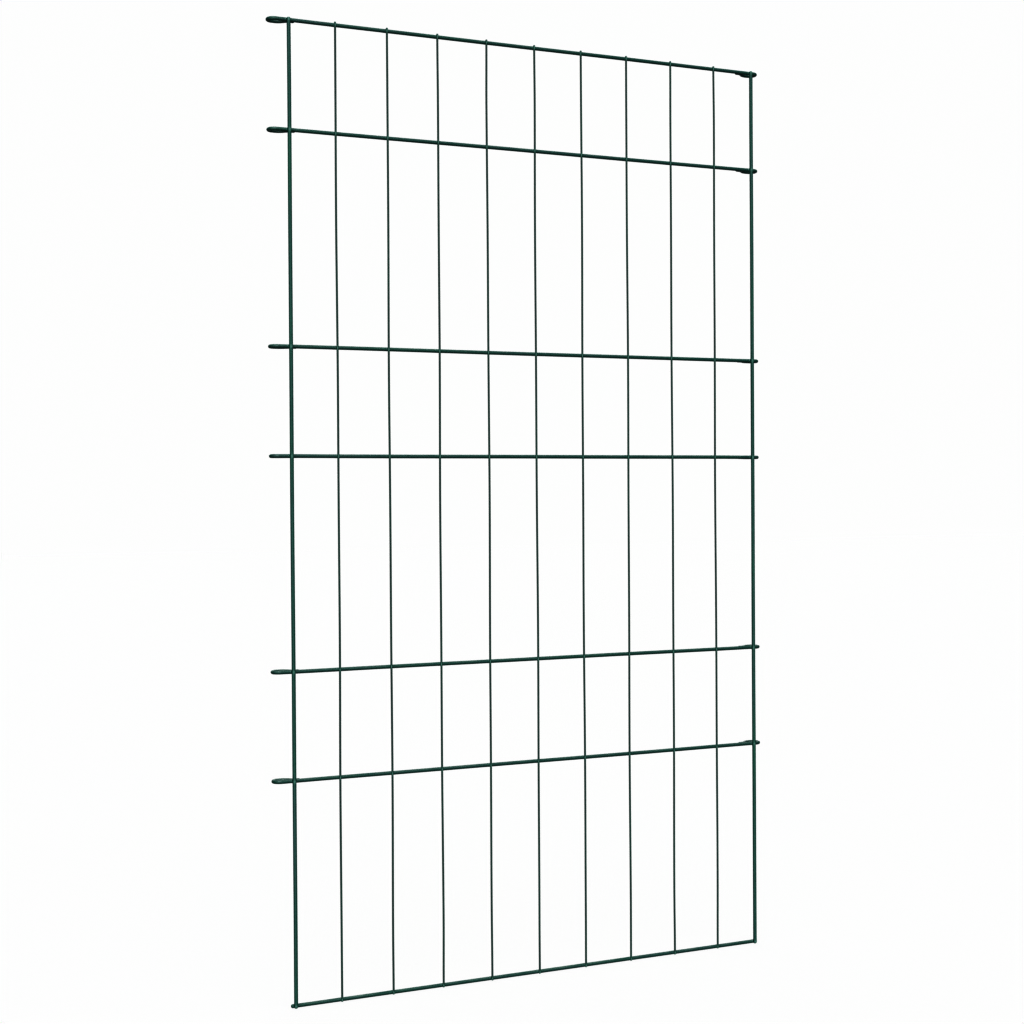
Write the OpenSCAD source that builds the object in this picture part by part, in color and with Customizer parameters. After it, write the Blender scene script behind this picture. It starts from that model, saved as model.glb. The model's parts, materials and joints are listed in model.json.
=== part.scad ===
// Welded wire mesh panel that is staked into a pen or fence. Two thick
// uprights and a row of thin infill wires stand in front of the rails. Every
// rail but the bottom one is bent back on itself at both ends into a closed
// eyelet, so one ground stake can pass down through a whole row of them.
// +X runs along the panel, +Y towards the eyelet side and +Z up. The origin is
// the centre of the overall box at ground level.

/* [Mesh layout] */
// Pitch from each upright to the infill wire next to it
outer_bay = 51; // [20:1:90]
// Pitch between infill wires
inner_bay = 58; // [20:1:90]
// Number of infill wires
infill_count = 9; // [2:1:16]
// Number of close pairs of rails above the bottom rail
pair_count = 3; // [1:1:5]
// Spacing of the two rails in a close pair
pair_gap = 111; // [50:1:180]
// Spacing from one close pair down to the next
wide_gap = 219; // [60:1:320]
// Spacing from the lowest close pair down to the bottom rail
bottom_gap = 229; // [60:1:320]

/* [Wire] */
// Diameter of the two uprights, coating included
upright_d = 3.8; // [2.5:0.1:6]
// Diameter of the rails, coating included
rail_d = 3.8; // [2.5:0.1:6]
// Diameter of the infill wires, coating included
infill_d = 2.0; // [1.4:0.1:4]
// Chamfer that the coating leaves on a cut wire end
end_chamfer = 0.4; // [0.1:0.1:0.6]
// How far the upright and infill wires stand above the top rail
top_end = 1.0; // [0:0.5:20]
// How far the bottom rail runs past the centre of each upright
bottom_rail_end = 4.0; // [3.5:0.5:20]

/* [Welds] */
// How far two crossing wires are pressed into each other
weld_set = 0.3; // [0.1:0.05:0.5]
// Diameter of the coated weld lump behind an upright
upright_weld_d = 3.6; // [3:0.1:6]
// Diameter of the coated weld lump behind an infill wire
infill_weld_d = 3.0; // [2.4:0.1:5]
// Thickness of the coated weld that closes an eyelet
eyelet_weld_d = 2.8; // [1.6:0.1:5]

/* [Eyelets] */
// Clear width between the two strands of an eyelet, where the stake passes
eyelet_gap = 8.2; // [5:0.1:16]
// Straight stretch of the returning strand behind the round end
eyelet_run = 3.0; // [1:0.5:30]
// Length of the returning strand's end that is welded along its rail
eyelet_tail = 3.0; // [1:0.5:12]
// Gap between that end and the rail, which the weld fills
eyelet_close = 0.3; // [0.1:0.1:1]
// How far the left eyelets reach past the centre of the left upright
left_reach = 20.5; // [8:0.1:40]
// How far the right eyelets reach past the centre of the right upright
right_reach = 13.3; // [8:0.1:40]

/* [Hidden] */
$fn = 48;
wire_green = [0.07, 0.26, 0.20];
weld_green = [0.10, 0.31, 0.24];
// Room that a cutting block has beyond what it cuts
cut_room = 1;

upright_r = upright_d / 2;
rail_r = rail_d / 2;
infill_r = infill_d / 2;

// Rounds to the micron, so that the stretches of a rail meet exactly
function micron(v) = round(v * 1000) / 1000;

// Tip radius and strand spacing. The returning strand then comes back to the
// rail in two equal arcs, and slopes as a 3-4-5 triangle where they meet.
bend_sin = 0.8;
bend_cos = 0.6;
tip_r = micron((eyelet_gap + rail_d) / 2);
strand_gap = 2 * tip_r;
bend_r = micron((strand_gap - rail_d - eyelet_close) / (2 * (1 - bend_cos)));
bend_length = 2 * bend_r * bend_sin;
tail_y = strand_gap - 2 * bend_r * (1 - bend_cos);

// Where the wires stand, along the panel and across it
upright_span = 2 * outer_bay + (infill_count - 1) * inner_bay;
left_x = (left_reach - right_reach - upright_span) / 2;
right_x = left_x + upright_span;
front_depth = rail_r + upright_d - weld_set;
back_depth = strand_gap + rail_r;
rail_y = (front_depth - back_depth) / 2;
weld_y = rail_y - rail_r + weld_set / 2;
upright_y = rail_y - rail_r - upright_r + weld_set;
infill_y = rail_y - rail_r - infill_r + weld_set;

// Centres of the round ends of the left and right eyelets
left_end = micron(left_x - left_reach + rail_r + tip_r);
right_end = micron(right_x + right_reach - rail_r - tip_r);

// Rail heights from the top down, with the bottom rail last
bottom_z = rail_r;
rail_count = 2 * pair_count;
function gap_above(i) = i % 2 == 1 ? pair_gap : wide_gap;
function drop_to(i) = i == 0 ? 0 : drop_to(i - 1) + gap_above(i);
top_z = bottom_z + drop_to(rail_count - 1) + bottom_gap;
function rail_z(i) = i == rail_count ? bottom_z : top_z - drop_to(i);
wire_top = top_z + rail_r + top_end;

// Verticals from left to right: the uprights are the first and the last
last_wire = infill_count + 1;
function is_upright(k) = k == 0 || k == last_wire;
function wire_x(k) = k == 0 ? left_x
    : k == last_wire ? right_x
    : left_x + outer_bay + (k - 1) * inner_bay;
function wire_y(k) = is_upright(k) ? upright_y : infill_y;
function wire_r(k) = is_upright(k) ? upright_r : infill_r;
function lump_d(k) = min(rail_d, is_upright(k) ? upright_weld_d : infill_weld_d);

// Half length of the flat that two crossing wires press into one of them
function flat_half(r) = sqrt(r * r - (r - weld_set) * (r - weld_set));

// Round wire along +Z with chamfered ends
module wire(length, r) {
    rotate_extrude()
        polygon([
            [0, 0],
            [r - end_chamfer, 0],
            [r, end_chamfer],
            [r, length - end_chamfer],
            [r - end_chamfer, length],
            [0, length]
        ]);
}

// Straight stretch of rail wire along +X
module strand(length) {
    rotate([0, 90, 0])
        cylinder(h = length, r = rail_r);
}

// Rail wire bent into a half ring that opens towards +X
module tip() {
    rotate([0, 0, 90])
        rotate_extrude(angle = 180)
            translate([tip_r, 0])
                circle(r = rail_r);
}

// Arc of rail wire that turns from +X down to the slope, about the origin
module bend() {
    reach = 2 * (bend_r + rail_d);
    intersection() {
        rotate_extrude()
            translate([bend_r, 0])
                circle(r = rail_r);
        translate([0, 0, -rail_d])
            linear_extrude(height = 2 * rail_d)
                polygon([[0, 0], [0, reach], [bend_sin * reach, bend_cos * reach]]);
    }
}

// Upright or infill wire, with a flat pressed into its back at each rail
module vertical(k) {
    r = wire_r(k);
    flat = flat_half(rail_r);
    difference() {
        translate([wire_x(k), wire_y(k), 0])
            wire(wire_top, r);
        for (i = [0:rail_count])
            translate([wire_x(k) - r - cut_room, weld_y, rail_z(i) - flat])
                cube([2 * (r + cut_room), r + cut_room, 2 * flat]);
    }
}

// Flats pressed into the front of rail i, one behind each vertical
module rail_flats(i) {
    for (k = [0:last_wire]) {
        flat = flat_half(wire_r(k));
        translate([wire_x(k) - flat, weld_y - rail_r - cut_room, rail_z(i) - rail_r - cut_room])
            cube([2 * flat, rail_r + cut_room, 2 * (rail_r + cut_room)]);
    }
}

// Eyelet that opens from the rail's end at the origin and returns along +X
module eyelet() {
    translate([0, tip_r, 0])
        tip();
    translate([0, strand_gap, 0])
        strand(eyelet_run);
    translate([eyelet_run, strand_gap - bend_r, 0])
        bend();
    translate([eyelet_run + bend_length, tail_y + bend_r, 0])
        rotate([0, 0, 180])
            bend();
    translate([eyelet_run + bend_length, tail_y, 0])
        strand(eyelet_tail);
}

// Rail with an eyelet bent into each end
module eyelet_rail(i) {
    difference() {
        translate([0, rail_y, rail_z(i)])
            union() {
                translate([left_end, 0, 0])
                    strand(right_end - left_end);
                translate([left_end, 0, 0])
                    eyelet();
                translate([right_end, 0, 0])
                    mirror([1, 0, 0])
                        eyelet();
            }
        rail_flats(i);
    }
}

// Straight bottom rail, cut off just past each upright
module plain_rail() {
    difference() {
        translate([left_x - bottom_rail_end, rail_y, bottom_z])
            rotate([0, 90, 0])
                wire(upright_span + 2 * bottom_rail_end, rail_r);
        rail_flats(rail_count);
    }
}

// Coated weld lumps that fill the corners where the verticals cross rail i
module weld_row(i) {
    for (k = [0:last_wire])
        difference() {
            translate([wire_x(k), weld_y, rail_z(i)])
                sphere(d = lump_d(k));
            translate([wire_x(k), wire_y(k), rail_z(i) - rail_d])
                cylinder(h = 2 * rail_d, r = wire_r(k));
            translate([wire_x(k) - rail_d, rail_y, rail_z(i)])
                strand(2 * rail_d);
        }
}

// Coated weld between an eyelet's returned end and its rail, beside that end
module closing_weld() {
    difference() {
        translate([eyelet_run + bend_length, tail_y / 2, 0])
            rotate([0, 90, 0])
                cylinder(h = eyelet_tail, d = eyelet_weld_d);
        translate([eyelet_run + bend_length - cut_room, 0, 0])
            strand(eyelet_tail + 2 * cut_room);
        translate([eyelet_run + bend_length - cut_room, tail_y, 0])
            strand(eyelet_tail + 2 * cut_room);
    }
}

// Closing welds of all the left eyelets, and of all the right ones
module left_closing_welds() {
    for (i = [0:rail_count - 1])
        translate([left_end, rail_y, rail_z(i)])
            closing_weld();
}

module right_closing_welds() {
    for (i = [0:rail_count - 1])
        translate([right_end, rail_y, rail_z(i)])
            mirror([1, 0, 0])
                closing_weld();
}

color(wire_green) vertical(0);  // upright_left
color(wire_green) vertical(last_wire);  // upright_right
for (k = [1:infill_count])
    color(wire_green) vertical(k);
for (i = [1:rail_count])
    color(wire_green) eyelet_rail(i - 1);
color(wire_green) plain_rail();  // bottom_rail
for (i = [1:rail_count])
    color(weld_green) weld_row(i - 1);
color(weld_green) weld_row(rail_count);  // welds_bottom_rail
color(weld_green) left_closing_welds();  // eyelet_welds_left
color(weld_green) right_closing_welds();  // eyelet_welds_right
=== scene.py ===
import json
import math

import bmesh
import bpy
from mathutils import Matrix, Vector


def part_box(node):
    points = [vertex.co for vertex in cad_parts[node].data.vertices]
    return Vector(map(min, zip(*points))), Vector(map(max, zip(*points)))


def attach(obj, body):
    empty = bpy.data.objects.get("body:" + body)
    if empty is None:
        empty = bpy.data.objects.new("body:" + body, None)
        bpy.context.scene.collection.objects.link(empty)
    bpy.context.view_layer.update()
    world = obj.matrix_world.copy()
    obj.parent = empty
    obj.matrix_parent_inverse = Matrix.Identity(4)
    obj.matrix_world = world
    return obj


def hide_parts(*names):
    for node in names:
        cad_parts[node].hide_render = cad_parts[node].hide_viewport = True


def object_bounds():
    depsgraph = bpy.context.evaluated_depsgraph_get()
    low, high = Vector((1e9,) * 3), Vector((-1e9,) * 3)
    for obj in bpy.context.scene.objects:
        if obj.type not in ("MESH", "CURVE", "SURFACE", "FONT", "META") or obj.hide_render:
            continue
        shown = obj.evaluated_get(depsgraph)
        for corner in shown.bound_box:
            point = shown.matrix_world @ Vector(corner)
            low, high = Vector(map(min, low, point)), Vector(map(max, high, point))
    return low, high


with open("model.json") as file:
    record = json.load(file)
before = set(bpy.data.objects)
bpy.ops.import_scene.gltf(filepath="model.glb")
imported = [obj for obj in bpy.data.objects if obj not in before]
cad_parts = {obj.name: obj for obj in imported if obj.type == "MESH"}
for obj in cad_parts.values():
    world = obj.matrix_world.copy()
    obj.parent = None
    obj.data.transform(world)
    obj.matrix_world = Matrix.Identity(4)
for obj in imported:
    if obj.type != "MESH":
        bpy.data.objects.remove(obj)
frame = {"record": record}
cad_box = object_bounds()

MM = 0.001
RAIL_NAMES = [f"rail_{level}" for level in range(1, 7)] + ["bottom_rail"]
UPRIGHT_NAMES = ["upright_left", "upright_right"]
INFILL_NAMES = [f"infill_wire_{number}" for number in range(1, 10)]
SIDES = ("left", "right")

# Wire drawing: how finely each coated wire is cut into rings and sides.
THICK_WIRE_SIDES = 28
THIN_WIRE_SIDES = 20
RING_STEP = 7.0 * MM
CROSSING_RINGS = 8
CROSSING_REACH = 6.5 * MM
SMALLEST_STEP = 0.3 * MM
END_ROUNDS = 7
END_ROUNDING = 0.9
END_SQUARENESS = 2.2

# Straightening leaves a slow and a quick wave in a wire, which begin elsewhere in each one.
SWAY = 0.14 * MM
THIN_SWAY = 0.42 * MM
SWAY_FADE = 70.0 * MM
SLOW_WAVE, SLOW_START, SLOW_SHARE = 8.3, 1.9, 0.65
QUICK_WAVE, QUICK_START, QUICK_SHARE = 21.7, 3.1, 0.35
FIRST_INFILL_SEED = 2
FIRST_RAIL_SEED = 20

# What welding and dipping leave at a crossing. Dents and swells are shares of the wire's radius.
UPRIGHT_SHORT = 0.9 * MM
COAT_SWELL = 0.035
COAT_SPREAD = 3.4 * MM
ELECTRODE_DENT = 0.10
ELECTRODE_REACH = 1.6 * MM
# How far round the ring the painted highlight on the electrode's flat fades in.
MARK_HIGHLIGHT_EDGE = 0.25

# Eyelet: the run behind the stake, the gap that the closing weld fills, and its rings.
EYELET_RUN = 3.0 * MM
CLOSING_GAP = 0.3 * MM
TAIL_STEPS = 3
BEND_STEPS = 10
RUN_STEPS = 2
ROUND_END_STEPS = 26

# Coating fillets where two wires cross.
FILLET_SIDES = 40
FILLET_STEPS = 7
FILLET_REACH = 0.95
FILLET_GRIP = 0.985
FILLET_SINK = 0.025 * MM
FILLET_END = 0.35
FILLET_HEART = 0.3

# Coated welds that close the eyelets.
CLOSURE_STATIONS = 26
CLOSURE_STEPS = 6
CLOSURE_RISE = 0.74
CLOSURE_TIP = 0.12
CLOSURE_BLUNTNESS = 0.45
CLOSURE_DIP = 0.58
CLOSURE_WEB = 3.2 * MM
CLOSURE_LIP = 0.35 * MM

# Camera: its place from the middle of the panel's foot, its turn in degrees and its lens.
CAMERA_PLACE = Vector((-0.9932, -1.8212, 0.5258))
CAMERA_YAW = 28.035
CAMERA_PITCH = -0.681
CAMERA_ROLL = -0.364
CAMERA_LENS = 67.257
CAMERA_SENSOR = 36.0
CAMERA_NEAR = 0.05
CAMERA_FAR = 60.0


def along(start, end, steps):
    """Even places from start to end, both included."""
    return [start + (end - start) * step / steps for step in range(steps + 1)]


def within(value, low, high):
    """The value, kept between low and high."""
    return min(high, max(low, value))


def nearest_bell(place, crossings, reach):
    """1 at a crossing along a wire, falling away smoothly to nothing past reach."""
    return max(math.exp(-(((place - crossing) / reach) ** 2)) for crossing in crossings)


def sway(place, start, end, seed, size):
    """The slight waviness of a straightened wire, gone at its two ends."""
    fade = within(min(place - start, end - place) / SWAY_FADE, 0.0, 1.0)
    slow = math.sin(place * SLOW_WAVE + seed * SLOW_START)
    quick = math.sin(place * QUICK_WAVE + seed * QUICK_START)
    return size * fade * fade * (3 - 2 * fade) * (SLOW_SHARE * slow + QUICK_SHARE * quick)


def end_rounds(radius):
    """How far in from its cut end a wire has its rings, out to its full thickness."""
    cap = radius * END_ROUNDING
    return [cap * (1 - math.cos(angle)) for angle in along(0, math.pi / 2, END_ROUNDS)]


def end_factor(place, start, end, radius):
    """How full the wire is near its cut and coated end."""
    cap = radius * END_ROUNDING
    room = min(place - start, end - place)
    if room >= cap:
        return 1.0
    if room <= 0:
        return 0.0
    return (1 - (1 - room / cap) ** END_SQUARENESS) ** (1 / END_SQUARENESS)


def wire_stops(start, end, radius, crossings):
    """Places along a wire for its rings: even, closer at crossings and round the cut ends."""
    cap = radius * END_ROUNDING
    stops = along(start + cap, end - cap, math.ceil((end - start - 2 * cap) / RING_STEP))
    for crossing in crossings:
        near = along(crossing - CROSSING_REACH, crossing + CROSSING_REACH, 2 * CROSSING_RINGS)
        stops += [place for place in near if start + cap < place < end - cap]
    stops.sort()
    kept = [stops[0]]
    for place in stops[1:-1]:
        if place - kept[-1] > SMALLEST_STEP and stops[-1] - place > SMALLEST_STEP:
            kept.append(place)
    kept.append(stops[-1])
    rounds = end_rounds(radius)[:-1]
    return [start + rise for rise in rounds] + kept + [end - rise for rise in reversed(rounds)]


class Ring:
    """One ring of a wire: its middle, two directions across it, its radius and its coat."""

    def __init__(self, middle, across, rise, radius, pool=0.0, pressed=None, dent=0.0):
        self.middle = middle
        self.across = across
        self.rise = rise
        self.radius = radius
        self.pool = pool
        self.pressed = pressed
        self.dent = dent

    def point(self, angle):
        """The surface at an angle round the ring, and how much of the electrode's flat is there, which is
        painted a lighter green as a highlight.
        """
        offset = (self.across * math.cos(angle) + self.rise * math.sin(angle)) * self.radius
        if self.pressed is None or self.radius == 0:
            return self.middle + offset, 0.0
        facing = offset.dot(self.pressed) / self.radius
        over = facing - (1 - self.dent)
        if over > 0:
            offset -= self.pressed * (over * self.radius)
        # This share carries a painted highlight onto the electrode's flat, with a soft edge.
        share = self.dent / ELECTRODE_DENT
        return self.middle + offset, share * within((facing - 1 + MARK_HIGHLIGHT_EDGE * 2) / MARK_HIGHLIGHT_EDGE, 0.0, 1.0)


class UprightWire:
    """An upright or infill wire as the CAD places it, with the sway it has here."""

    def __init__(self, node, seed):
        low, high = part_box(node)
        self.node = node
        self.seed = seed
        self.radius = (high.x - low.x) / 2
        self.x = (low.x + high.x) / 2
        self.y = high.y - self.radius
        self.foot = low.z
        self.top = high.z - (0 if node in INFILL_NAMES else UPRIGHT_SHORT)
        self.sway = THIN_SWAY if node in INFILL_NAMES else SWAY

    def x_at(self, z):
        return self.x + sway(z, self.foot, self.top, self.seed, self.sway)

    def radius_at(self, z):
        return self.radius * (1 + COAT_SWELL * nearest_bell(z, rail_levels, COAT_SPREAD))


class Rail:
    """A rail as the CAD places it, with its level's sway. The bottom rail lies on the ground."""

    def __init__(self, node, seed):
        low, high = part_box(node)
        self.node = node
        self.seed = seed
        self.radius = (high.z - low.z) / 2
        self.z = (low.z + high.z) / 2
        self.y = low.y + self.radius
        self.left = low.x
        self.right = high.x
        self.back = high.y - self.radius

    def z_at(self, x):
        if self.node == "bottom_rail":
            return self.z + self.radius * COAT_SWELL * nearest_bell(x, vertical_places, COAT_SPREAD)
        return self.z + sway(x, self.left, self.right, self.seed, SWAY)

    def radius_at(self, x):
        return self.radius * (1 + COAT_SWELL * nearest_bell(x, vertical_places, COAT_SPREAD))


uprights = [UprightWire(node, seed) for seed, node in enumerate(UPRIGHT_NAMES)]
infills = [UprightWire(node, seed) for seed, node in enumerate(INFILL_NAMES, FIRST_INFILL_SEED)]
verticals = uprights + infills
rails = [Rail(node, seed) for seed, node in enumerate(RAIL_NAMES, FIRST_RAIL_SEED)]
eyelet_rails = rails[:-1]
bottom_rail = rails[-1]
rail_levels = [rail.z for rail in rails]
vertical_places = [wire.x for wire in verticals]
closing_boxes = {side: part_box(f"eyelet_welds_{side}") for side in SIDES}
stake_ways = {mount["name"]: Vector(mount["pos_m"]) for mount in frame["record"]["mounts"]}


class Eyelet:
    """One end of a rail from above: its tail, the bend away from the rail, a run and the round end.

    Distances are measured outward from the tail's cut end."""

    def __init__(self, rail, side):
        low, high = closing_boxes[side]
        stake_way = stake_ways[f"{side}_eyelet_{RAIL_NAMES.index(rail.node) + 1}"]
        self.rail = rail
        self.outward = -1 if side == "left" else 1
        self.tail_end = high.x if side == "left" else low.x
        self.tail_length = high.x - low.x
        self.tail_y = rail.y + 2 * rail.radius + CLOSING_GAP
        self.reach = abs(stake_way.x - self.tail_end)
        self.middle_y = stake_way.y
        self.bend_span = self.reach - self.tail_length - EYELET_RUN
        drop = rail.back - self.tail_y
        self.bend = (self.bend_span ** 2 + drop ** 2) / (4 * drop)

    def x_at(self, distance):
        return self.tail_end + self.outward * distance

    def tail_y_at(self, distance):
        """The tail's y, as far as the first half of its bend."""
        past = max(0.0, distance - self.tail_length)
        return self.tail_y + self.bend - math.sqrt(self.bend ** 2 - past ** 2)

    def line(self):
        """The middle line from the cut end to the rail's straight run, as
        (distance, y, heading outward, heading back)."""
        rail = self.rail
        turn = math.asin(self.bend_span / 2 / self.bend)
        bend_end = self.tail_length + self.bend_span
        round_end = (rail.back - rail.y) / 2
        rounds = end_rounds(rail.radius)
        line = []
        for distance in rounds + along(rounds[-1], self.tail_length, TAIL_STEPS)[1:]:
            line.append((distance, self.tail_y, 1, 0))
        for angle in along(0, turn, BEND_STEPS)[1:]:
            rise = self.bend * (1 - math.cos(angle))
            distance = self.tail_length + self.bend * math.sin(angle)
            line.append((distance, self.tail_y + rise, math.cos(angle), math.sin(angle)))
        for angle in along(turn, 0, BEND_STEPS)[1:]:
            rise = self.bend * (1 - math.cos(angle))
            distance = bend_end - self.bend * math.sin(angle)
            line.append((distance, rail.back - rise, math.cos(angle), math.sin(angle)))
        for distance in along(bend_end, self.reach, RUN_STEPS)[1:]:
            line.append((distance, rail.back, 1, 0))
        for angle in along(0, math.pi, ROUND_END_STEPS)[1:]:
            distance = self.reach + round_end * math.sin(angle)
            y = self.middle_y + round_end * math.cos(angle)
            line.append((distance, y, math.cos(angle), -math.sin(angle)))
        return line

    def rings(self):
        """Rings round the eyelet, from the tail's cut end to the rail's straight run."""
        rings = []
        for distance, y, heading_out, heading_back in self.line():
            middle = Vector((self.x_at(distance), y, self.rail.z))
            across = Vector((-heading_back, self.outward * heading_out, 0))
            fullness = end_factor(distance, 0.0, math.inf, self.rail.radius)
            rings.append(Ring(middle, across, Vector((0, 0, 1)), self.rail.radius * fullness))
        return rings


# ---- finishes ----

# How many of each to a metre, for noise and cells.
DRIFT_SCALE = 1.0
SECOND_DRIFT_SCALE = 1.4
SECOND_DRIFT_SHIFT = (31.0, 17.0, 5.0)
MOTTLE_SCALE = 620.0
LUMP_SCALE = 480.0
GRAIN_SCALE = 2600.0
PINHOLE_SCALE = 260.0
DUST_PATCH_SCALE = 45.0

# What shares of a texture count, from its low value to its high one.
GREYED = (0.48, 0.66)
GREENED = (0.50, 0.68)
MOTTLED = (0.30, 0.70)
DUST_PATCHED = (0.35, 0.70)
FACING_UP = (0.20, 0.95)
PINHOLE_WIDTH = 0.11
GRAIN_SHARE = 0.12

# How the coat's parts change its colour and its gloss.
POOL_SHARE = 0.5
POOL_GLOSS = -0.07
MOTTLE_GLOSS = 0.35
DUST_DULLNESS = 0.5
PEEL_DEPTH = 0.018 * MM
COAT_IOR = 1.5
TOP_COAT = 0.15
TOP_COAT_ROUGHNESS = 0.2

BLACK = (0.0, 0.0, 0.0, 1)
DUST_COLOR = (0.30, 0.31, 0.29, 1)
POOLED_GREEN = (0.006, 0.072, 0.054, 1)
# A lighter green painted on the electrode's flats as a painted highlight.
MARK_HIGHLIGHT_GREEN = (0.056, 0.130, 0.109, 1)

# The plain, the greyer and the brighter green of each kind of wire.
UPRIGHT_GREENS = ((0.006, 0.071, 0.055, 1), (0.018, 0.076, 0.067, 1), (0.004, 0.088, 0.058, 1))
RAIL_GREENS = ((0.008, 0.065, 0.053, 1), (0.018, 0.070, 0.062, 1), (0.005, 0.074, 0.051, 1))
INFILL_GREENS = ((0.007, 0.043, 0.034, 1), (0.011, 0.037, 0.032, 1), (0.005, 0.057, 0.041, 1))
DRAWN_ALONG_Z = (60.0, 60.0, 7.0)
DRAWN_ALONG_X = (7.0, 60.0, 60.0)

# A colour mix node's sockets, which share their names with its other kinds.
MIX_MASK, MIX_FIRST, MIX_SECOND, MIX_RESULT = 0, 6, 7, 2


def place_node(tree, kind, spot, **settings):
    """A shader node at a spot in the tree, with its settings."""
    node = tree.nodes.new(kind)
    node.location = (spot[0] * 200, spot[1] * -180)
    for name, value in settings.items():
        setattr(node, name, value)
    return node


def feed(tree, socket, value):
    """Gives a socket its value, or links it to the socket that has it."""
    if isinstance(value, bpy.types.NodeSocket):
        tree.links.new(value, socket)
    else:
        socket.default_value = value


def blank_group(name, inputs, outputs):
    """A shader node group with named sockets, given as (name, kind, first value)."""
    tree = bpy.data.node_groups.new(name, "ShaderNodeTree")
    for label, kind, value in inputs:
        socket = tree.interface.new_socket(label, in_out="INPUT", socket_type=kind)
        if value is not None:
            socket.default_value = value
    for label, kind in outputs:
        tree.interface.new_socket(label, in_out="OUTPUT", socket_type=kind)
    entry = place_node(tree, "NodeGroupInput", (0, 0))
    leave = place_node(tree, "NodeGroupOutput", (9, 0))
    return tree, entry.outputs, leave.inputs


def noise(tree, spot, place, scale, detail=2.0, roughness=0.5):
    """A noise texture read at a place, giving its value socket."""
    node = place_node(tree, "ShaderNodeTexNoise", spot)
    feed(tree, node.inputs["Vector"], place)
    feed(tree, node.inputs["Scale"], scale)
    feed(tree, node.inputs["Detail"], detail)
    feed(tree, node.inputs["Roughness"], roughness)
    return node.outputs["Fac"]


def spread(tree, spot, value, limits, to_low=0.0, to_high=1.0):
    """Stretches a value between two limits to to_low..to_high."""
    node = place_node(tree, "ShaderNodeMapRange", spot)
    feed(tree, node.inputs["Value"], value)
    feed(tree, node.inputs["From Min"], limits[0])
    feed(tree, node.inputs["From Max"], limits[1])
    feed(tree, node.inputs["To Min"], to_low)
    feed(tree, node.inputs["To Max"], to_high)
    return node.outputs["Result"]


def reckon(tree, spot, operation, first, second):
    """A math node of two values, each a socket or a number."""
    node = place_node(tree, "ShaderNodeMath", spot, operation=operation)
    feed(tree, node.inputs[0], first)
    feed(tree, node.inputs[1], second)
    return node.outputs["Value"]


def blend_colors(tree, spot, mask, first, second):
    """Two colours mixed by a mask, each a socket or a colour."""
    node = place_node(tree, "ShaderNodeMix", spot, data_type="RGBA", blend_type="MIX")
    feed(tree, node.inputs[MIX_MASK], mask)
    feed(tree, node.inputs[MIX_FIRST], first)
    feed(tree, node.inputs[MIX_SECOND], second)
    return node.outputs[MIX_RESULT]


def coating_tone_group():
    """Colour that drifts slowly along a wire, with a fine mottle in it."""
    tree, given, out = blank_group(
        "coating tone",
        [
            ("Wire Place", "NodeSocketVector", None),
            ("Surface Place", "NodeSocketVector", None),
            ("Coating", "NodeSocketColor", UPRIGHT_GREENS[0]),
            ("Grey Stretch", "NodeSocketColor", UPRIGHT_GREENS[1]),
            ("Green Stretch", "NodeSocketColor", UPRIGHT_GREENS[2]),
            ("Drift", "NodeSocketFloat", 0.5),
            ("Mottle", "NodeSocketFloat", 0.2),
        ],
        [("Color", "NodeSocketColor"), ("Roughness Shift", "NodeSocketFloat")],
    )
    slow = spread(tree, (2, 0), noise(tree, (1, 0), given["Wire Place"], DRIFT_SCALE), GREYED)
    other = place_node(tree, "ShaderNodeMapping", (1, 2))
    other.inputs["Location"].default_value = SECOND_DRIFT_SHIFT
    tree.links.new(given["Wire Place"], other.inputs["Vector"])
    drifting = noise(tree, (2, 2), other.outputs["Vector"], SECOND_DRIFT_SCALE)
    greyed = reckon(tree, (4, 0), "MULTIPLY", slow, given["Drift"])
    greened = reckon(tree, (4, 2), "MULTIPLY", spread(tree, (3, 2), drifting, GREENED), given["Drift"])
    color = blend_colors(tree, (5, 0), greyed, given["Coating"], given["Grey Stretch"])
    color = blend_colors(tree, (6, 0), greened, color, given["Green Stretch"])
    fine = noise(tree, (2, 4), given["Surface Place"], MOTTLE_SCALE, 4.0, 0.6)
    amount = reckon(tree, (4, 4), "MULTIPLY", spread(tree, (3, 4), fine, MOTTLED), given["Mottle"])
    feed(tree, out["Color"], blend_colors(tree, (7, 1), amount, color, BLACK))
    feed(tree, out["Roughness Shift"], reckon(tree, (7, 3), "SUBTRACT", fine, 0.5))
    return tree


def orange_peel_group():
    """The faint lumps and rare pinholes of a dipped and baked coating, as a height."""
    tree, given, out = blank_group(
        "orange peel",
        [
            ("Surface Place", "NodeSocketVector", None),
            ("Lumps", "NodeSocketFloat", LUMP_SCALE),
            ("Pinholes", "NodeSocketFloat", 0.3),
        ],
        [("Height", "NodeSocketFloat")],
    )
    lumps = noise(tree, (2, 0), given["Surface Place"], given["Lumps"], 2.0, 0.45)
    grain = noise(tree, (2, 2), given["Surface Place"], GRAIN_SCALE)
    cells = place_node(tree, "ShaderNodeTexVoronoi", (2, 4))
    cells.inputs["Scale"].default_value = PINHOLE_SCALE
    tree.links.new(given["Surface Place"], cells.inputs["Vector"])
    holes = spread(tree, (3, 4), cells.outputs["Distance"], (0.0, PINHOLE_WIDTH), 1.0, 0.0)
    depth = reckon(tree, (4, 4), "MULTIPLY", holes, given["Pinholes"])
    rough = reckon(tree, (4, 2), "MULTIPLY", grain, GRAIN_SHARE)
    height = reckon(tree, (5, 0), "ADD", lumps, rough)
    feed(tree, out["Height"], reckon(tree, (6, 0), "SUBTRACT", height, depth))
    return tree


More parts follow.
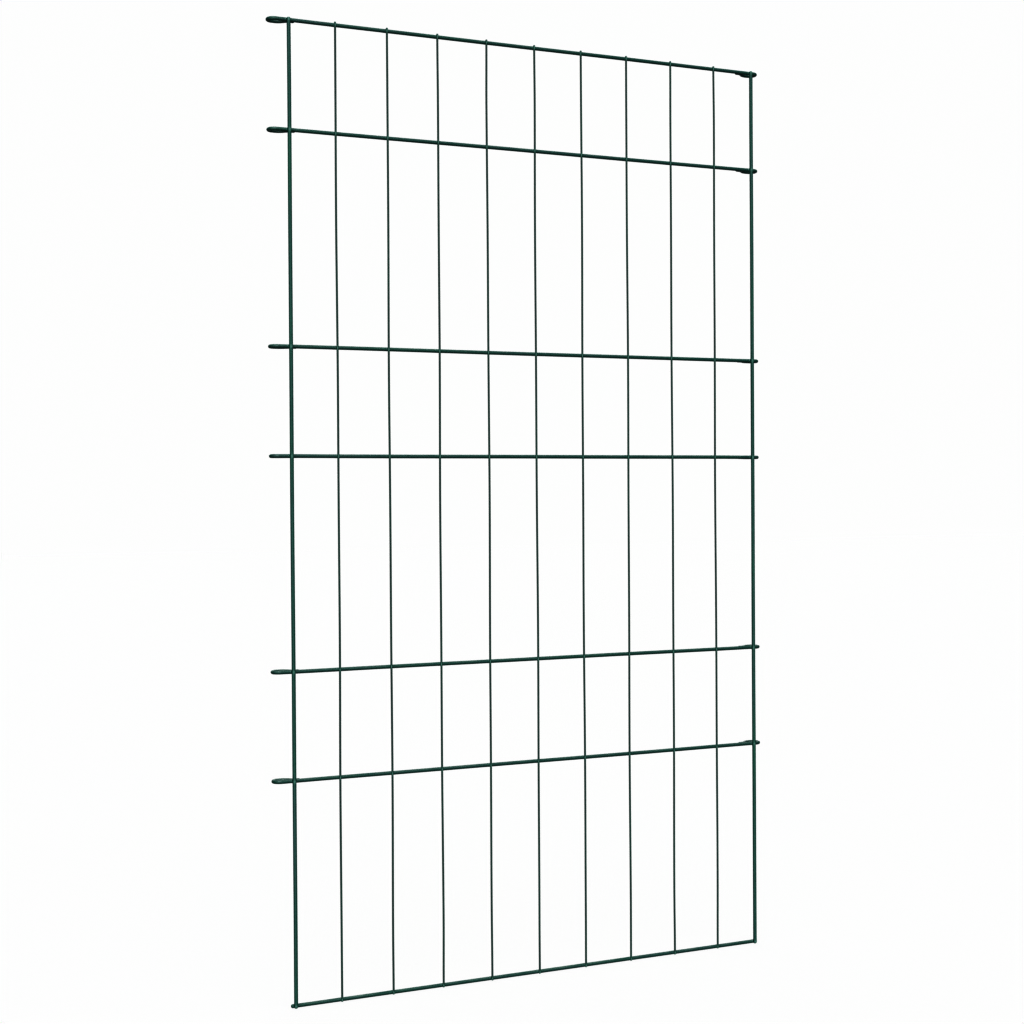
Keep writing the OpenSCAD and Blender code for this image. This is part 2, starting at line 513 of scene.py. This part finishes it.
def settled_dust_group():
    """A mask of thin dust that lies in patches on what faces up."""
    tree, given, out = blank_group(
        "settled dust",
        [("Surface Place", "NodeSocketVector", None), ("Amount", "NodeSocketFloat", 0.3)],
        [("Mask", "NodeSocketFloat")],
    )
    surface = place_node(tree, "ShaderNodeNewGeometry", (1, 0))
    facing = place_node(tree, "ShaderNodeSeparateXYZ", (2, 0))
    tree.links.new(surface.outputs["Normal"], facing.inputs["Vector"])
    upward = spread(tree, (3, 0), facing.outputs["Z"], FACING_UP)
    patches = noise(tree, (2, 2), given["Surface Place"], DUST_PATCH_SCALE, 5.0, 0.65)
    lying = reckon(tree, (4, 0), "MULTIPLY", upward, spread(tree, (3, 2), patches, DUST_PATCHED))
    feed(tree, out["Mask"], reckon(tree, (5, 0), "MULTIPLY", lying, given["Amount"]))
    return tree


TONE = coating_tone_group()
PEEL = orange_peel_group()
DUST = settled_dust_group()


def coating(name, greens, drawn, drift, mottle, dust, roughness):
    """A dipped coating: drifting colour, mottle, pooled coat at crossings, a painted highlight on the
    electrode's flats, dust and orange peel.
    """
    material = bpy.data.materials.new(name)
    material.use_nodes = True
    tree = material.node_tree
    shader = tree.nodes["Principled BSDF"]
    where = place_node(tree, "ShaderNodeTexCoord", (-8, 0)).outputs["Object"]
    longwise = place_node(tree, "ShaderNodeMapping", (-7, 0))
    longwise.inputs["Scale"].default_value = drawn
    tree.links.new(where, longwise.inputs["Vector"])
    tone = place_node(tree, "ShaderNodeGroup", (-6, 0), node_tree=TONE)
    tree.links.new(longwise.outputs["Vector"], tone.inputs["Wire Place"])
    tree.links.new(where, tone.inputs["Surface Place"])
    for label, green in zip(("Coating", "Grey Stretch", "Green Stretch"), greens):
        tone.inputs[label].default_value = green
    tone.inputs["Drift"].default_value = drift
    tone.inputs["Mottle"].default_value = mottle
    pool = place_node(tree, "ShaderNodeAttribute", (-6, 2), attribute_name="pooled_coat").outputs["Fac"]
    # The share of the electrode's flat that gets the painted highlight.
    mark_highlight = place_node(tree, "ShaderNodeAttribute", (-6, 5), attribute_name="electrode_mark_highlight").outputs["Fac"]
    settled = place_node(tree, "ShaderNodeGroup", (-5, 4), node_tree=DUST)
    tree.links.new(where, settled.inputs["Surface Place"])
    settled.inputs["Amount"].default_value = dust
    dusty = settled.outputs["Mask"]

    pooled = reckon(tree, (-5, 2), "MULTIPLY", pool, POOL_SHARE)
    color = blend_colors(tree, (-4, 0), pooled, tone.outputs["Color"], POOLED_GREEN)
    # Painted highlight: the electrode's flats are painted a lighter green.
    color = blend_colors(tree, (-4, 1), mark_highlight, color, MARK_HIGHLIGHT_GREEN)
    color = blend_colors(tree, (-3, 0), dusty, color, DUST_COLOR)
    feed(tree, shader.inputs["Base Color"], color)

    mottled = reckon(tree, (-4, 2), "MULTIPLY", tone.outputs["Roughness Shift"], MOTTLE_GLOSS)
    smoothed = reckon(tree, (-4, 3), "MULTIPLY", pool, POOL_GLOSS)
    dulled = reckon(tree, (-3, 4), "MULTIPLY", dusty, DUST_DULLNESS)
    rough = reckon(tree, (-3, 2), "ADD", mottled, roughness)
    rough = reckon(tree, (-2, 2), "ADD", rough, smoothed)
    feed(tree, shader.inputs["Roughness"], reckon(tree, (-1, 2), "ADD", rough, dulled))

    peel = place_node(tree, "ShaderNodeGroup", (-4, 6), node_tree=PEEL)
    tree.links.new(where, peel.inputs["Surface Place"])
    bump = place_node(tree, "ShaderNodeBump", (-2, 5))
    bump.inputs["Strength"].default_value = 1.0
    bump.inputs["Distance"].default_value = PEEL_DEPTH
    tree.links.new(peel.outputs["Height"], bump.inputs["Height"])
    tree.links.new(bump.outputs["Normal"], shader.inputs["Normal"])

    shader.inputs["IOR"].default_value = COAT_IOR
    shader.inputs["Coat Weight"].default_value = TOP_COAT
    shader.inputs["Coat Roughness"].default_value = TOP_COAT_ROUGHNESS
    return material


upright_coating = coating(
    "upright coating", UPRIGHT_GREENS, DRAWN_ALONG_Z, drift=0.8, mottle=0.25, dust=0.08, roughness=0.40
)
rail_coating = coating(
    "rail coating", RAIL_GREENS, DRAWN_ALONG_X, drift=0.6, mottle=0.25, dust=0.3, roughness=0.42
)
infill_coating = coating(
    "infill coating", INFILL_GREENS, DRAWN_ALONG_Z, drift=0.6, mottle=0.25, dust=0.08, roughness=0.44
)
weld_coating = coating(
    "weld coating", UPRIGHT_GREENS, DRAWN_ALONG_Z, drift=0.3, mottle=0.2, dust=0.2, roughness=0.36
)


# ---- wires ----

def new_piece(name, body, material, stands_for):
    """Turns finished mesh work into a piece of the panel that stands for its CAD node."""
    bmesh.ops.recalc_face_normals(body, faces=body.faces)
    for face in body.faces:
        face.smooth = True
    mesh = bpy.data.meshes.new(name)
    body.to_mesh(mesh)
    body.free()
    mesh.materials.append(material)
    piece = bpy.data.objects.new(name, mesh)
    bpy.context.scene.collection.objects.link(piece)
    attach(piece, "root")
    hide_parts(stands_for)


def swept_wire(rings, sides, material, node):
    """A closed round wire through its rings, whose first and last are the points of its ends."""
    body = bmesh.new()
    pool = body.verts.layers.float.new("pooled_coat")
    mark_highlight = body.verts.layers.float.new("electrode_mark_highlight")
    loops = []
    for ring in rings:
        loop = []
        for side in range(sides if ring.radius > 0 else 1):
            place, pressed = ring.point(2 * math.pi * side / sides)
            vert = body.verts.new(place)
            vert[pool] = ring.pool
            # Stores the share of the painted highlight on the electrode's flat.
            vert[mark_highlight] = pressed
            loop.append(vert)
        loops.append(loop)
    for here, there in zip(loops, loops[1:]):
        for side in range(sides):
            after = (side + 1) % sides
            corners = [here[side % len(here)], here[after % len(here)]]
            corners += [there[after % len(there)], there[side % len(there)]]
            body.faces.new(list(dict.fromkeys(corners)))
    new_piece(f"coated_{node}", body, material, node)


def build_vertical(wire, sides, material):
    """An upright or infill wire: rounded ends, swollen coat and electrode dents at the rails, each dent with
    a painted highlight.
    """
    across, rise, pressed = Vector((1, 0, 0)), Vector((0, 1, 0)), Vector((0, -1, 0))
    rings = []
    for z in wire_stops(wire.foot, wire.top, wire.radius, rail_levels):
        middle = Vector((wire.x_at(z), wire.y, z))
        radius = wire.radius_at(z) * end_factor(z, wire.foot, wire.top, wire.radius)
        pool = nearest_bell(z, rail_levels, COAT_SPREAD)
        dent = ELECTRODE_DENT * nearest_bell(z, rail_levels, ELECTRODE_REACH)
        rings.append(Ring(middle, across, rise, radius, pool, pressed, dent))
    swept_wire(rings, sides, material, wire.node)


def straight_rings(rail, start, end, capped):
    """Rings along a rail's straight run, swollen and dented where the verticals cross, each dent with a
    painted highlight.
    """
    across, rise, pressed = Vector((0, 1, 0)), Vector((0, 0, 1)), Vector((0, 1, 0))
    rings = []
    for x in wire_stops(start, end, rail.radius, vertical_places):
        middle = Vector((x, rail.y, rail.z_at(x)))
        radius = rail.radius_at(x) * (end_factor(x, start, end, rail.radius) if capped else 1.0)
        pool = nearest_bell(x, vertical_places, COAT_SPREAD)
        dent = ELECTRODE_DENT * nearest_bell(x, vertical_places, ELECTRODE_REACH)
        rings.append(Ring(middle, across, rise, radius, pool, pressed, dent))
    return rings


def build_eyelet_rail(rail):
    """A rail bent back on itself into an eyelet at each end."""
    left = Eyelet(rail, "left").rings()
    right = Eyelet(rail, "right").rings()[::-1]
    for ring in right:
        ring.across = -ring.across
    start, end = left[-1].middle.x, right[0].middle.x
    straight = [
        ring
        for ring in straight_rings(rail, start, end, capped=False)
        if start + SMALLEST_STEP < ring.middle.x < end - SMALLEST_STEP
    ]
    swept_wire(left + straight + right, THICK_WIRE_SIDES, rail_coating, rail.node)


def build_bottom_rail(rail):
    """The plain bottom rail, cut off just past the uprights."""
    rings = straight_rings(rail, rail.left, rail.right, capped=True)
    swept_wire(rings, THICK_WIRE_SIDES, rail_coating, rail.node)


for wire in uprights:
    build_vertical(wire, THICK_WIRE_SIDES, upright_coating)
for wire in infills:
    build_vertical(wire, THIN_WIRE_SIDES, infill_coating)
for rail in eyelet_rails:
    build_eyelet_rail(rail)
build_bottom_rail(bottom_rail)


# ---- coating over the welds ----

def curve_points(first, pull, last, steps):
    """A curve from first to last that leans towards pull."""
    points = []
    for t in along(0.0, 1.0, steps):
        points.append(first * (1 - t) ** 2 + pull * 2 * t * (1 - t) + last * t ** 2)
    return points


def fillet_line(wire, rail, angle):
    """One line of a saddle of coating, from the front wire to the rail, at an angle round their crossing."""
    c, s = math.cos(angle), math.sin(angle)
    x0 = wire.x_at(rail.z)
    z0 = rail.z_at(wire.x)
    wire_radius = wire.radius_at(rail.z)
    rail_radius = rail.radius_at(wire.x)
    reach = wire.radius * FILLET_REACH
    contact = (wire.y + wire.radius + rail.y - rail.radius) / 2
    lowest = wire.foot + wire.radius * FILLET_END
    highest = wire.top - wire.radius * FILLET_END

    z_on_wire = within(z0 + (rail_radius + reach) * s, lowest, highest)
    near = wire.radius_at(z_on_wire) - FILLET_SINK
    near *= end_factor(z_on_wire, wire.foot, wire.top, wire.radius)
    x = near * FILLET_GRIP * c
    on_wire = Vector((x0 + x, wire.y + math.sqrt(near ** 2 - x ** 2), z_on_wire))

    out = (wire_radius + reach) * c
    far = rail.radius_at(wire.x + out) - FILLET_SINK
    z = far * FILLET_GRIP * s
    on_rail = Vector((x0 + out, rail.y - math.sqrt(far ** 2 - z ** 2), z0 + z))

    pull = Vector((x0 + wire_radius * c, contact, within(z0 + rail_radius * s, lowest, highest)))
    return curve_points(on_wire, pull, on_rail, FILLET_STEPS)


def add_fillet(body, pool, wire, rail):
    """The saddle of coating round one crossing, closed inside the two wires."""
    rows = []
    for side in range(FILLET_SIDES):
        line = fillet_line(wire, rail, 2 * math.pi * side / FILLET_SIDES)
        rows.append([body.verts.new(point) for point in line])
    for here, there in zip(rows, rows[1:] + rows[:1]):
        for step in range(FILLET_STEPS):
            body.faces.new([here[step], there[step], there[step + 1], here[step + 1]])
    x, z = wire.x_at(rail.z), rail.z_at(wire.x)
    inside_wire = body.verts.new((x, wire.y + FILLET_HEART * wire.radius, z))
    inside_rail = body.verts.new((x, rail.y - FILLET_HEART * rail.radius, z))
    for heart, step in ((inside_wire, 0), (inside_rail, FILLET_STEPS)):
        for here, there in zip(rows, rows[1:] + rows[:1]):
            body.faces.new([heart, here[step], there[step]])
            body.edges.get([here[step], there[step]]).smooth = False
    for vert in [inside_wire, inside_rail] + [vert for row in rows for vert in row]:
        vert[pool] = 1.0


def closure_ring(eyelet, distance, share):
    """One cut through a closing weld, at a distance from the tail's end and a share of the weld's length."""
    rail = eyelet.rail
    radius = rail.radius - FILLET_SINK
    fullness = math.sin(math.pi * within(share, 0.0, 1.0)) ** CLOSURE_BLUNTNESS
    half = radius * (CLOSURE_TIP + (CLOSURE_RISE - CLOSURE_TIP) * fullness)
    dip = half * CLOSURE_DIP
    inset = math.sqrt(radius ** 2 - half ** 2)
    x = eyelet.x_at(distance)
    tail_y = eyelet.tail_y_at(distance)
    ring = []
    for sign in (1, -1):
        on_rail = Vector((x, rail.y + inset, rail.z + sign * half))
        on_tail = Vector((x, tail_y - inset, rail.z + sign * half))
        pull = Vector((x, (rail.y + tail_y) / 2, rail.z + sign * dip))
        points = curve_points(on_rail, pull, on_tail, CLOSURE_STEPS)
        ring += points if sign > 0 else points[::-1]
    return ring


def add_closure(body, pool, rail, side):
    """The coated weld that closes one eyelet, filling the groove between tail and rail."""
    eyelet = Eyelet(rail, side)
    start, end = CLOSURE_LIP, eyelet.tail_length + CLOSURE_WEB
    rows = []
    for distance in along(start, end, CLOSURE_STATIONS):
        ring = closure_ring(eyelet, distance, (distance - start) / (end - start))
        rows.append([body.verts.new(point) for point in ring])
    count = len(rows[0])
    for here, there in zip(rows, rows[1:]):
        for step in range(count):
            after = (step + 1) % count
            face = body.faces.new([here[step], here[after], there[after], there[step]])
            if step in (CLOSURE_STEPS, count - 1):
                for edge in face.edges:
                    edge.smooth = False
    body.faces.new(rows[0])
    body.faces.new(rows[-1])
    for vert in [vert for row in rows for vert in row]:
        vert[pool] = 1.0


def build_weld_row(rail):
    """All the coating fillets on one rail."""
    body = bmesh.new()
    pool = body.verts.layers.float.new("pooled_coat")
    for wire in verticals:
        add_fillet(body, pool, wire, rail)
    new_piece(f"weld_fillets_{rail.node}", body, weld_coating, f"welds_{rail.node}")


def build_closures(side):
    """The closing welds of all the eyelets on one side."""
    body = bmesh.new()
    pool = body.verts.layers.float.new("pooled_coat")
    for rail in eyelet_rails:
        add_closure(body, pool, rail, side)
    new_piece(f"eyelet_closures_{side}", body, weld_coating, f"eyelet_welds_{side}")


for rail in rails:
    build_weld_row(rail)
for side in SIDES:
    build_closures(side)


# ---- floor, light and camera ----

FLOOR_HALF = 14.0
FLOOR_STEPS = 8
FLOOR_GREY = (0.03, 0.03, 0.03, 1)
FLOOR_ROUGHNESS = 0.9
FLOOR_GLOW = 0.915
WHITE = (1, 1, 1, 1)

# The white round the panel: as the camera sees it, as it lights, and as it is mirrored.
SURROUND_SEEN = 0.995
SURROUND_GIVEN = 0.6
SURROUND_MIRRORED = 0.3
DISPLAY_GAMMA = 0.47

# Soft lights: compass heading, height above the horizon and softness in degrees, with their strength.
STUDIO_LIGHTS = (
    dict(name="front light", heading=-26.0, height=8.0, softness=110.0, strength=4.6, mirrored=True),
    dict(name="top light", heading=-12.0, height=54.0, softness=50.0, strength=3.6, mirrored=True),
    dict(name="back light", heading=158.0, height=24.0, softness=60.0, strength=1.2, mirrored=True),
    dict(name="back fill", heading=158.0, height=20.0, softness=90.0, strength=4.6, mirrored=False),
)


def build_floor():
    """A plain near-white floor under the panel."""
    body = bmesh.new()
    places = along(-FLOOR_HALF, FLOOR_HALF, FLOOR_STEPS)
    grid = [[body.verts.new((x, y, cad_box[0].z)) for x in places] for y in places]
    for here, there in zip(grid, grid[1:]):
        for step in range(FLOOR_STEPS):
            body.faces.new([here[step], here[step + 1], there[step + 1], there[step]])
    mesh = bpy.data.meshes.new("studio floor")
    body.to_mesh(mesh)
    body.free()
    material = bpy.data.materials.new("studio floor")
    material.use_nodes = True
    shader = material.node_tree.nodes["Principled BSDF"]
    shader.inputs["Base Color"].default_value = FLOOR_GREY
    shader.inputs["Roughness"].default_value = FLOOR_ROUGHNESS
    shader.inputs["Specular IOR Level"].default_value = 0.0
    shader.inputs["Emission Color"].default_value = WHITE
    shader.inputs["Emission Strength"].default_value = FLOOR_GLOW
    mesh.materials.append(material)
    floor = bpy.data.objects.new("studio_floor", mesh)
    bpy.context.scene.collection.objects.link(floor)
    floor.visible_glossy = False
    floor.visible_diffuse = False


def soft_light(name, heading, height, softness, strength, mirrored):
    """A broad soft studio light. One that isn't mirrored leaves no shine on the wires."""
    light = bpy.data.lights.new(name, "SUN")
    light.energy = strength
    light.angle = math.radians(softness)
    lamp = bpy.data.objects.new(name, light)
    bpy.context.scene.collection.objects.link(lamp)
    lamp.visible_glossy = mirrored
    around, up = math.radians(heading), math.radians(height)
    toward = Vector((math.sin(around) * math.cos(up), -math.cos(around) * math.cos(up), math.sin(up)))
    lamp.rotation_mode = "QUATERNION"
    lamp.rotation_quaternion = toward.to_track_quat("Z", "Y")


def white_surround():
    """A white surround for the camera, with its own strength for soft light and for reflections."""
    world = bpy.data.worlds.new("white surround")
    world.use_nodes = True
    tree = world.node_tree
    path = place_node(tree, "ShaderNodeLightPath", (-4, 0)).outputs
    backdrop = tree.nodes["Background"]
    backdrop.inputs["Color"].default_value = WHITE
    glossy = reckon(tree, (-3, 1), "MULTIPLY", path["Is Glossy Ray"], SURROUND_MIRRORED - SURROUND_GIVEN)
    camera = reckon(tree, (-3, 0), "MULTIPLY", path["Is Camera Ray"], SURROUND_SEEN - SURROUND_GIVEN)
    both = reckon(tree, (-2, 0), "ADD", glossy, camera)
    feed(tree, backdrop.inputs["Strength"], reckon(tree, (-1, 0), "ADD", both, SURROUND_GIVEN))
    bpy.context.scene.world = world


def place_camera():
    """The camera, turned by yaw, pitch and roll."""
    yaw, pitch, roll = (math.radians(value) for value in (CAMERA_YAW, CAMERA_PITCH, CAMERA_ROLL))
    ahead = Vector((math.sin(yaw) * math.cos(pitch), math.cos(yaw) * math.cos(pitch), math.sin(pitch)))
    right = Vector((math.cos(yaw), -math.sin(yaw), 0))
    above = right.cross(ahead)
    tilted_right = math.cos(roll) * right + math.sin(roll) * above
    tilted_above = math.cos(roll) * above - math.sin(roll) * right
    data = bpy.data.cameras.new("studio camera")
    data.lens = CAMERA_LENS
    data.sensor_width = CAMERA_SENSOR
    data.clip_start = CAMERA_NEAR
    data.clip_end = CAMERA_FAR
    camera = bpy.data.objects.new("studio camera", data)
    bpy.context.scene.collection.objects.link(camera)
    low, high = cad_box
    foot = Vector(((low.x + high.x) / 2, (low.y + high.y) / 2, low.z))
    camera.location = foot + CAMERA_PLACE
    camera.rotation_mode = "QUATERNION"
    turn = Matrix((tilted_right, tilted_above, -ahead)).transposed()
    camera.rotation_quaternion = turn.to_quaternion()
    bpy.context.scene.camera = camera


build_floor()
for light in STUDIO_LIGHTS:
    soft_light(**light)
white_surround()
place_camera()
bpy.context.scene.view_settings.view_transform = "Standard"
bpy.context.scene.view_settings.gamma = DISPLAY_GAMMA
